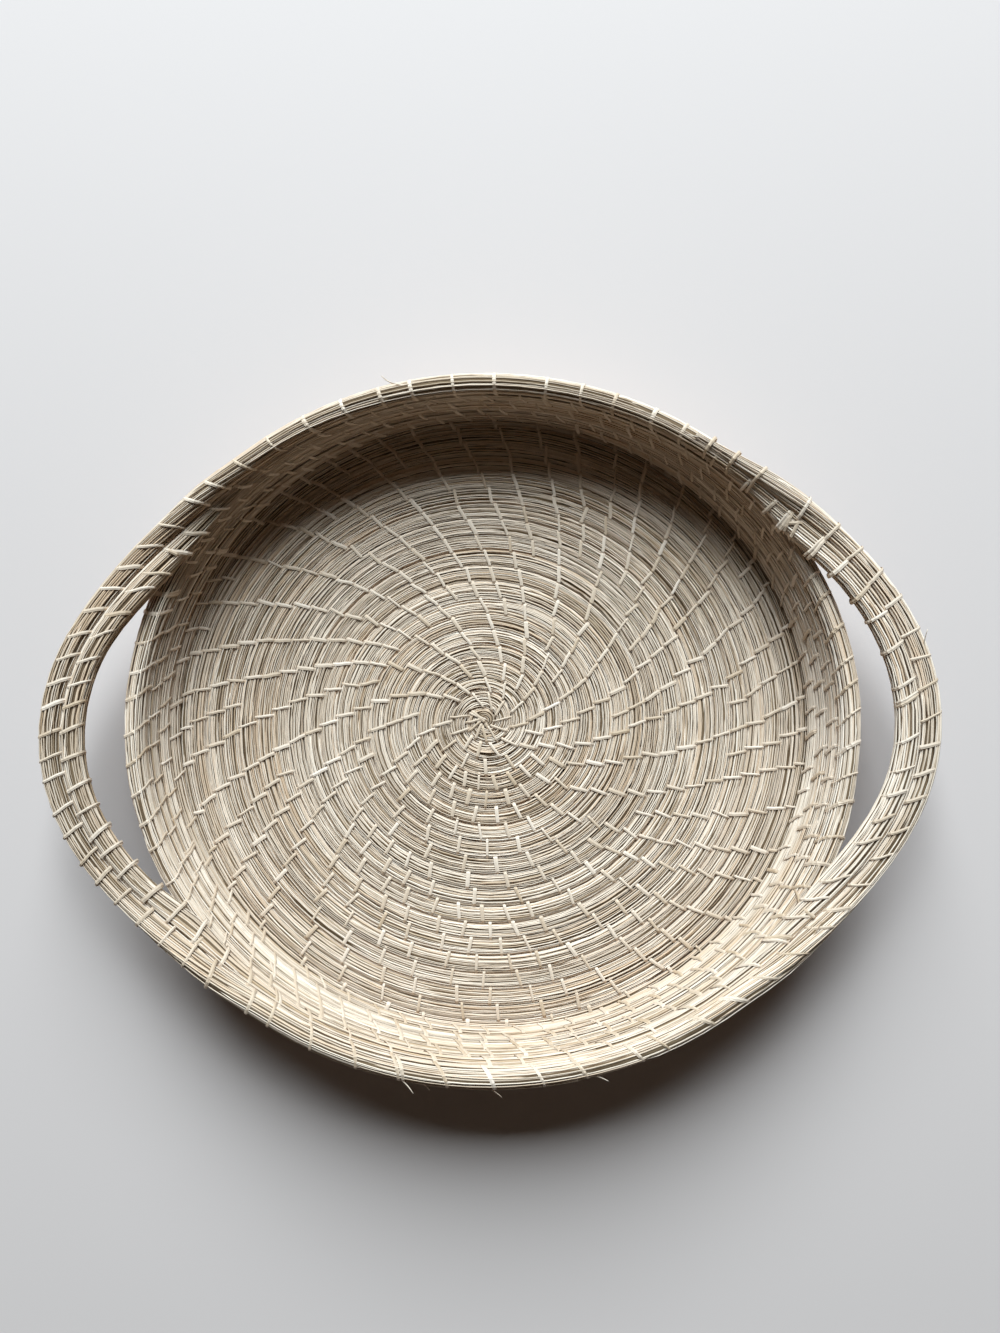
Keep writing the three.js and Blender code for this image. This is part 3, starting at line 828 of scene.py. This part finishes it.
def stitch_surface(bundle, stalk, look, first_turn, last_turn):
    """One closed loop of strand for each stitch between two turns.

    The loop is the bundle's rounded section, grown by half the strand's thickness and stretched into the row before,
    so it lies over the row on top and below and dives between the rows. It leans along the row by its slant.
    """
    turns = sew_rows(bundle, look)
    rng = np.random.default_rng(look.seed + 1)
    lean, wide, tone = rng.normal(0, 1, (3, len(turns), 1))
    chosen = (turns >= first_turn) & (turns < last_turn)
    turn, lean, wide, tone = turns[chosen, None], lean[chosen], wide[chosen], tone[chosen]
    in_rim = turn >= bundle.rim
    free = np.where(in_rim & (turn < bundle.rim + 1), bundle.bow(turn), 0)
    slant = stitch_slant(bundle, look, turn) + look.slant_spread * lean
    on_top = np.where(turn >= bundle.rim + 1, 1 - bundle.roll(turn), 0)
    on_top = TOP_TURN * np.where(in_rim | (turn < bundle.rim - 1), on_top, bundle.bow(turn))
    knot = lerp(look.knot_width, 1, smooth(turn, look.first_row, look.first_row + KNOT_ROWS))
    half_width = look.width / 2 * (1 + look.width_spread * np.clip(wide, -WIDEST, WIDEST)) * knot
    # The strands at the front get the same painted shade.
    paleness = look.paleness * knot - stalk.front_painted_shade * bundle.front(turn)
    paleness = np.clip(paleness + look.paleness_spread * tone, 0, 1)
    return loops(bundle, stalk, look, turn, look.pierce * (1 - free), slant, half_width, paleness, on_top)


def loops(bundle, stalk, look, turn, pierce, slant, half_width, tone, far_side=0):
    """Closed strand loops round the bundle at given turns, with their reach into the row before and their slant.

    A loop goes along the row by its slant times the cosine of the angle from the section's far side, which is the
    side of the next row or, on the rim's top, turned from it towards the outside.
    """
    section = TAU * np.arange(look.stations) / look.stations + 0 * turn
    along_half, across_half = section_halves(bundle, stalk, turn)
    half_height = look.thickness / 2
    flatness = section_flatness(bundle, stalk, turn)
    point, normal = skin(section, along_half + pierce / 2, across_half + half_height / 2, flatness)
    along, across = bundle.axes(turn)
    centre = bundle.centre(turn) + spanned(point, along, across) - pierce[..., None] / 2 * along
    centre = centre + (slant * np.cos(section - far_side))[..., None] * np.cross(along, across)
    outward = spanned(normal, along, across)
    return tubes(centre, outward, half_width, half_height, tone, STRAND_SIDES, closed=True)


def crossed_surface(bundle, stalk, look):
    """The crossed strand loops round one rim row, which don't reach into the row before."""
    degrees, row, slant = np.array(CROSSED_WRAP).T[:, :, None]
    turn = bundle.rim_turn(degrees, row)
    return loops(bundle, stalk, look, turn, 0 * turn, slant, look.width / 2, look.paleness)


def lashing_surface(bundle, stalk, look):
    """Strand loops round two rows at once.

    Each loop is a rounded section from the far side of a row to the far side of the row one turn before it. Its short
    half is the bundle's depth. It leans along the rows by its slant.
    """
    degrees, row, slant = np.array(LASHINGS).T[:, :, None]
    turn = bundle.rim_turn(degrees, row)
    here, before = bundle.centre(turn), bundle.centre(turn - 1)
    along, across = bundle.axes(turn)
    heading = np.cross(along, across)
    reach = here - before
    reach = reach - np.sum(reach * heading, -1, keepdims=True) * heading
    long_way = unit(reach)
    short_way = np.cross(heading, long_way)
    far_half, _ = section_halves(bundle, stalk, turn)
    near_half, across_half = section_halves(bundle, stalk, turn - 1)
    section = TAU * np.arange(look.stations) / look.stations
    grown = look.thickness / 2
    long_half = (np.linalg.norm(reach, axis=-1) + far_half + near_half) / 2
    point, normal = skin(section + 0 * turn, long_half + grown, across_half + grown, LASHING_FLATNESS)
    middle = (here + before + (far_half - near_half)[..., None] * long_way) / 2
    centre = middle + spanned(point, long_way, short_way) + (slant * np.cos(section))[..., None] * heading
    outward = spanned(normal, long_way, short_way)
    return tubes(centre, outward, look.width / 2, grown, look.paleness, STRAND_SIDES, closed=True)


# --- Finishes ---


def fill(node, values):
    """Gives a node's sockets their values, or links from the sockets that are given in their place."""
    for socket, value in values.items():
        if isinstance(value, bpy.types.NodeSocket):
            node.id_data.links.new(value, node.inputs[socket])
        else:
            node.inputs[socket].default_value = value


def add_node(tree, kind, values, **settings):
    """Adds a shader node with its settings, fills its sockets and gives its outputs."""
    node = tree.nodes.new("ShaderNode" + kind)
    for name, setting in settings.items():
        setattr(node, name, setting)
    fill(node, values)
    return node.outputs


def straw_group():
    """A node group for dry grass: long streaks along the stalk, stains over the tray and the tone of each stalk.

    Puts out how pale the grass is at a point, how sun-browned it is and the height of its fine ribs.
    """
    name = "Dry grass"
    if name in bpy.data.node_groups:
        return bpy.data.node_groups[name]
    group = bpy.data.node_groups.new(name, "ShaderNodeTree")
    for label in ("Streaks", "Stains", "Rib count"):
        group.interface.new_socket(label, in_out="INPUT", socket_type="NodeSocketFloat")
    for label in ("Paleness", "Browning", "Height"):
        group.interface.new_socket(label, in_out="OUTPUT", socket_type="NodeSocketFloat")
    entry = group.nodes.new("NodeGroupInput").outputs
    leave = group.nodes.new("NodeGroupOutput")

    tone = add_node(group, "Attribute", {}, attribute_name="tone")["Fac"]
    run = add_node(group, "UVMap", {}, uv_map="run")["UV"]
    place = add_node(group, "TexCoord", {})["Object"]

    scale = add_node(group, "CombineXYZ", {"X": entry["Rib count"], "Y": STREAKS, "Z": 1})["Vector"]
    stretched = add_node(group, "VectorMath", {0: run, 1: scale}, operation="MULTIPLY")["Vector"]
    seed = add_node(group, "Math", {0: tone, 1: STREAK_SEED}, operation="MULTIPLY")["Value"]
    noise = {"Vector": stretched, "W": seed, "Scale": 1, "Detail": 3}
    ribs = add_node(group, "TexNoise", noise, noise_dimensions="4D")["Fac"]
    stains = add_node(group, "TexNoise", {"Vector": place, "Scale": STAIN_SCALE, "Detail": 4})["Fac"]
    total = tone
    for source, amount in ((ribs, "Streaks"), (stains, "Stains")):
        centred = add_node(group, "Math", {0: source, 1: 0.5}, operation="SUBTRACT")["Value"]
        total = add_node(group, "Math", {0: centred, 1: entry[amount], 2: total}, operation="MULTIPLY_ADD")["Value"]

    noise = {"Vector": place, "Scale": PATCH_SCALE, "Detail": 5, "Roughness": 0.6}
    patches = add_node(group, "TexNoise", noise)["Fac"]
    hue = add_node(group, "TexWhiteNoise", {"W": tone}, noise_dimensions="1D")["Value"]
    both = add_node(group, "Math", {0: patches, 1: hue}, operation="ADD")["Value"]
    low, high = BROWNED
    step = {"Value": both, "From Min": low, "From Max": high}
    browned = add_node(group, "MapRange", step, interpolation_type="SMOOTHSTEP")["Result"]
    fill(leave, {"Paleness": total, "Browning": browned, "Height": ribs})
    return group


def grass_material(name, pale, dark, warm, streaks, stains, roughness, ribs=6):
    """A dry grass finish between two colours, browned in places, with the streaks and ribs of the shared group."""
    if name in bpy.data.materials:
        return bpy.data.materials[name]
    material = bpy.data.materials.new(name)
    material.use_nodes = True
    tree = material.node_tree
    amounts = {"Streaks": streaks, "Stains": stains, "Rib count": ribs}
    grain = add_node(tree, "Group", amounts, node_tree=straw_group())
    plain = {"A": dark, "B": pale, "Factor": grain["Paleness"]}
    plain = add_node(tree, "Mix", plain, data_type="RGBA")["Result"]
    browned = {"A": plain, "B": warm, "Factor": grain["Browning"]}
    browned = add_node(tree, "Mix", browned, data_type="RGBA")["Result"]
    bump = {"Strength": RIB_STRENGTH, "Distance": RIB_HEIGHT, "Height": grain["Height"]}
    bump = add_node(tree, "Bump", bump)["Normal"]
    fill(tree.nodes["Principled BSDF"], {
        "Base Color": browned, "Normal": bump, "Roughness": roughness, "Specular IOR Level": GRASS_SPECULAR})
    return material


def stalk_material(finish):
    """Finish of the stalks."""
    return grass_material(
        "Grass stalks", finish.stalk_pale, finish.stalk_dark, finish.stalk_warm,
        streaks=0.42, stains=0.5, roughness=0.65)


def strand_material(finish):
    """Finish of the split strands."""
    return grass_material(
        "Split strands", finish.strand_pale, finish.strand_dark, finish.strand_dark,
        streaks=0.45, stains=0.4, roughness=0.6)


def core_shade_material(finish):
    """Finish of the inside of the bundle, whose dark colours are painted shade."""
    return grass_material(
        "Bundle core painted shade", finish.core_painted_shade, finish.core_deepest_painted_shade, finish.core_deepest_painted_shade,
        streaks=1.6, stains=0.4, roughness=0.9, ribs=45)


# --- Operators ---


def tray_of(context):
    """The scene's settings of the tray, and the bundle with those sizes."""
    tray = context.scene.grass_tray
    return tray, Bundle(tray.sizes)


def add_core(tray, bundle, name, first_turn, last_turn, nodes=()):
    """Adds a piece of the bundle's inside."""
    surface = core_surface(bundle, tray.stalks, first_turn, last_turn)
    add_piece(name, surface, core_shade_material(tray.finish), "grass", nodes)


def add_stalks(tray, bundle, name, first_turn, last_turn, nodes=()):
    """Adds a piece of the bundle's stalks."""
    surface = stalk_surface(bundle, tray.stalks, first_turn, last_turn)
    add_piece(name, surface, stalk_material(tray.finish), "grass", nodes)


class OBJECT_OT_tray_base(bpy.types.Operator):
    """Build the flat spiral of the base"""

    bl_idname = "object.tray_base"
    bl_label = "Base coil"
    bl_options = {"REGISTER", "UNDO"}

    def execute(self, context):
        """The core, and the stalks in an inner and an outer piece of the same length of bundle."""
        tray, bundle = tray_of(context)
        first_turn, half_way = tray.sizes.first_turn, bundle.fold * np.sqrt(0.5)
        add_core(tray, bundle, "base_core", first_turn, bundle.fold, ["base_coil"])
        add_stalks(tray, bundle, "base_stalks_inner", first_turn, half_way)
        add_stalks(tray, bundle, "base_stalks_outer", half_way, bundle.fold)
        return {"FINISHED"}


class OBJECT_OT_tray_wall(bpy.types.Operator):
    """Build the rows of the wall"""

    bl_idname = "object.tray_wall"
    bl_label = "Wall coil"
    bl_options = {"REGISTER", "UNDO"}

    def execute(self, context):
        """The core and the stalks of the wall."""
        tray, bundle = tray_of(context)
        add_core(tray, bundle, "wall_core", bundle.fold, bundle.rim, ["wall_coil"])
        add_stalks(tray, bundle, "wall_stalks", bundle.fold, bundle.rim)
        return {"FINISHED"}


class OBJECT_OT_tray_rim(bpy.types.Operator):
    """Build the two rim rows with the handles and their loose ends"""

    bl_idname = "object.tray_rim"
    bl_label = "Rim coil and handles"
    bl_options = {"REGISTER", "UNDO"}

    def execute(self, context):
        """The core, which the last third of the tail lacks, the stalks and the loose ends of the rim."""
        tray, bundle = tray_of(context)
        bare_turns = tray.sizes.tail_arc / TAU / 3
        add_core(tray, bundle, "rim_core", bundle.rim, bundle.last - bare_turns, ["rim_coil"])
        add_stalks(tray, bundle, "rim_stalks", bundle.rim, bundle.last + 1)
        add_piece("loose_ends", loose_surface(bundle, tray.stalks), stalk_material(tray.finish), "grass")
        return {"FINISHED"}


class OBJECT_OT_tray_stitches(bpy.types.Operator):
    """Sew the rows of the base, the wall and the rim"""

    bl_idname = "object.tray_stitches"
    bl_label = "Sewing strands"
    bl_options = {"REGISTER", "UNDO"}

    def execute(self, context):
        """The stitches in three pieces."""
        tray, bundle = tray_of(context)
        lines = [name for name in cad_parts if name.startswith("stitch_line")]
        wraps = [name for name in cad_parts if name.endswith("handle_wrap")]
        turned = bundle.fold + tray.sizes.fold_turns
        parts = (
            ("base_stitches", 0, turned, lines), ("wall_stitches", turned, bundle.rim, []),
            ("rim_stitches", bundle.rim, bundle.last, wraps))
        for name, first, last, nodes in parts:
            surface = stitch_surface(bundle, tray.stalks, tray.stitches, first, last)
            add_piece(name, surface, strand_material(tray.finish), "strand", nodes)
        return {"FINISHED"}


class OBJECT_OT_tray_lashings(bpy.types.Operator):
    """Lash the handle roots and the tail"""

    bl_idname = "object.tray_lashings"
    bl_label = "Lashings"
    bl_options = {"REGISTER", "UNDO"}

    def execute(self, context):
        """The loops round two rows and the crossed turns on one row."""
        tray, bundle = tray_of(context)
        pair = lashing_surface(bundle, tray.stalks, tray.stitches)
        crossed = crossed_surface(bundle, tray.stalks, tray.stitches)
        add_piece("lashings", joined(pair, crossed), strand_material(tray.finish), "strand")
        return {"FINISHED"}


class OBJECT_OT_tray_knot(bpy.types.Operator):
    """Build the curled and bound start of the bundle"""

    bl_idname = "object.tray_knot"
    bl_label = "Start knot"
    bl_options = {"REGISTER", "UNDO"}

    def execute(self, context):
        """The stalks of the curl, and the loops of strand round it."""
        tray, bundle = tray_of(context)
        size, look = tray.sizes, tray.stitches
        start, end = KNOT_CORE
        add_core(tray, bundle, "start_knot_core", size.knot_turn + start, size.first_turn + end)
        add_stalks(tray, bundle, "start_knot_stalks", size.knot_turn, size.first_turn, ["start_knot"])
        turn = np.linspace(0, size.first_turn, look.knot_loops)[:, None]
        pierce = look.pierce + 0 * turn
        binding = loops(bundle, tray.stalks, look, turn, pierce, 0, look.width / 2, look.paleness)
        add_piece("start_binding", binding, strand_material(tray.finish), "strand")
        return {"FINISHED"}


def placed(right, up, back, centre):
    """The matrix that puts an object at a point, with its three axes in given directions."""
    place = Matrix.Identity(4)
    for column, axis in enumerate((right, up, back, centre)):
        place.col[column][:3] = axis
    return place


class OBJECT_OT_tray_stage(bpy.types.Operator):
    """Set up the floor, the light and the camera"""

    bl_idname = "object.tray_stage"
    bl_label = "Stage"
    bl_options = {"REGISTER", "UNDO"}

    def execute(self, context):
        """A pale floor, one large lamp behind the tray, an even sky and the camera above."""
        look = context.scene.grass_tray.stage
        self.add_floor(context.scene, look)
        self.add_light(context.scene, look)
        self.add_sky(context.scene, look)
        self.add_camera(context.scene, look)
        context.scene.view_settings.view_transform = "Standard"
        return {"FINISHED"}

    def add_floor(self, scene, look):
        """A square floor under the tray."""
        half = look.floor_size / 2
        mesh = bpy.data.meshes.new("floor")
        corners = [(-half, -half, 0), (half, -half, 0), (half, half, 0), (-half, half, 0)]
        mesh.from_pydata(corners, [], [(0, 1, 2, 3)])
        material = bpy.data.materials.new("Pale floor")
        material.use_nodes = True
        shader = material.node_tree.nodes["Principled BSDF"]
        fill(shader, {"Base Color": look.floor_colour, "Roughness": FLOOR_ROUGHNESS})
        mesh.materials.append(material)
        floor = bpy.data.objects.new("floor", mesh)
        scene.collection.objects.link(floor)

    def add_light(self, scene, look):
        """A tall lamp behind the tray that faces it."""
        lamp = bpy.data.lights.new("window", "AREA")
        lamp.shape = "RECTANGLE"
        lamp.size = look.light_width
        lamp.size_y = look.light_height
        lamp.color = look.light_colour
        lamp.energy = look.light_power
        level = np.array([np.cos(look.light_direction), np.sin(look.light_direction), 0])
        towards = level * np.cos(look.light_elevation) + UP * np.sin(look.light_elevation)
        right = np.cross(level, UP)
        holder = bpy.data.objects.new("window", lamp)
        holder.matrix_world = placed(right, np.cross(towards, right), towards, towards * look.light_distance)
        scene.collection.objects.link(holder)

    def add_sky(self, scene, look):
        """A weak, warm sky that lights the tray, and a pale backdrop in its place where it is seen or mirrored."""
        world = bpy.data.worlds.new("sky")
        world.use_nodes = True
        tree = world.node_tree
        sky = tree.nodes["Background"]
        fill(sky, {"Color": look.sky_colour, "Strength": look.sky_strength})
        backdrop = add_node(tree, "Background", {"Color": look.backdrop_colour})["Background"]
        ray = add_node(tree, "LightPath", {})
        seen = ray["Is Camera Ray"]
        for kind in ("Is Glossy Ray", "Is Transmission Ray"):
            seen = add_node(tree, "Math", {0: seen, 1: ray[kind]}, operation="MAXIMUM")["Value"]
        both = add_node(tree, "MixShader", {"Fac": seen, 1: sky.outputs["Background"], 2: backdrop})
        fill(tree.nodes["World Output"], {"Surface": both["Shader"]})
        scene.world = world

    def add_camera(self, scene, look):
        """A camera above the tray that looks down with a small tilt and roll."""
        right = np.array([np.cos(look.camera_roll), -np.sin(look.camera_roll), 0])
        ahead = np.array([np.sin(look.camera_roll), np.cos(look.camera_roll), 0])
        back = UP * np.cos(look.camera_tilt) - ahead * np.sin(look.camera_tilt)
        centre = right * look.camera_shift[0] + ahead * look.camera_shift[1] + UP * look.camera_height
        lens = bpy.data.cameras.new("camera")
        lens.lens = look.lens
        lens.sensor_width = SENSOR_WIDTH
        camera = bpy.data.objects.new("camera", lens)
        camera.matrix_world = placed(right, np.cross(back, right), back, centre)
        scene.collection.objects.link(camera)
        scene.camera = camera


class GrassTray(bpy.types.PropertyGroup):
    """All settings of the tray."""

    sizes: PointerProperty(name="Sizes", description="Driving dimensions", type=TraySizes)
    stalks: PointerProperty(name="Stalks", description="How the stalks lie", type=StalkLook)
    stitches: PointerProperty(name="Stitches", description="How the rows are sewn", type=StitchLook)
    finish: PointerProperty(name="Finish", description="Colours of the grass", type=GrassFinish)
    stage: PointerProperty(name="Stage", description="Floor, light and camera", type=StageLook)


PIECES = (
    OBJECT_OT_tray_base, OBJECT_OT_tray_wall, OBJECT_OT_tray_rim, OBJECT_OT_tray_stitches, OBJECT_OT_tray_lashings,
    OBJECT_OT_tray_knot, OBJECT_OT_tray_stage)


class VIEW3D_PT_grass_tray(bpy.types.Panel):
    """Sidebar panel with the tray's operators and settings"""

    bl_label = "Grass tray"
    bl_idname = "VIEW3D_PT_grass_tray"
    bl_space_type = "VIEW_3D"
    bl_region_type = "UI"
    bl_category = "Grass tray"

    def draw(self, context):
        """Lists the operators, then the settings of each group."""
        for piece in PIECES:
            self.layout.operator(piece.bl_idname)
        tray = context.scene.grass_tray
        for group in (tray.sizes, tray.stalks, tray.stitches, tray.finish, tray.stage):
            box = self.layout.box()
            for name in group.bl_rna.properties.keys():
                if name not in {"rna_type", "name"}:
                    box.prop(group, name)


CLASSES = (TraySizes, StalkLook, StitchLook, GrassFinish, StageLook, GrassTray, *PIECES, VIEW3D_PT_grass_tray)


def register():
    """Adds the classes and the scene's settings."""
    for item in CLASSES:
        bpy.utils.register_class(item)
    bpy.types.Scene.grass_tray = PointerProperty(type=GrassTray)


def unregister():
    """Takes the settings and the classes away again."""
    del bpy.types.Scene.grass_tray
    for item in reversed(CLASSES):
        bpy.utils.unregister_class(item)


def main():
    """Builds the tray and its stage."""
    register()
    bpy.ops.object.tray_base()
    bpy.ops.object.tray_wall()
    bpy.ops.object.tray_rim()
    bpy.ops.object.tray_stitches()
    bpy.ops.object.tray_lashings()
    bpy.ops.object.tray_knot()
    bpy.ops.object.tray_stage()


if __name__ == "__main__":
    main()
